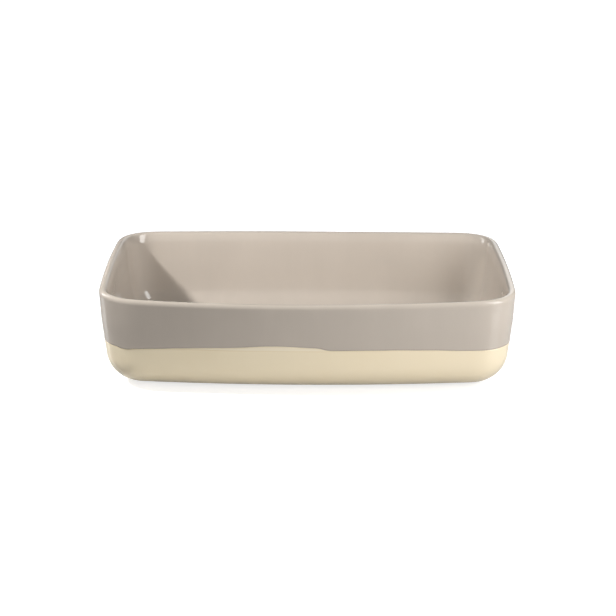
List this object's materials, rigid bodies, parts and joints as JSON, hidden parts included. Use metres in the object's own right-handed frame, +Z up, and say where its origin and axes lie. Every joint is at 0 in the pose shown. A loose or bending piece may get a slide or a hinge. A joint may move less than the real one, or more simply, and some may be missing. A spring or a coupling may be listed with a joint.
{
  "type": "baking dish",
  "caption": "Deep rectangular stoneware baking dish with bowed sides, rounded corners and rim, and a taupe glaze dipped over a cream base.",
  "frame": {"origin": "on the surface that the dish stands on, under the middle of the dish", "axes": "+X along the length, +Y along the width away from the viewer of the picture, +Z up"},
  "size_m": [0.33, 0.22, 0.0775],
  "materials": {
    "clay": "unglazed fired stoneware, dry and matte",
    "taupe_glaze": "glossy taupe glaze",
    "cream_glaze": "soft glossy cream glaze"
  },
  "bodies": {
    "root": {"stoneware_body": "clay", "taupe_glaze": "taupe_glaze", "cream_glaze": "cream_glaze"}
  },
  "joints": []
}
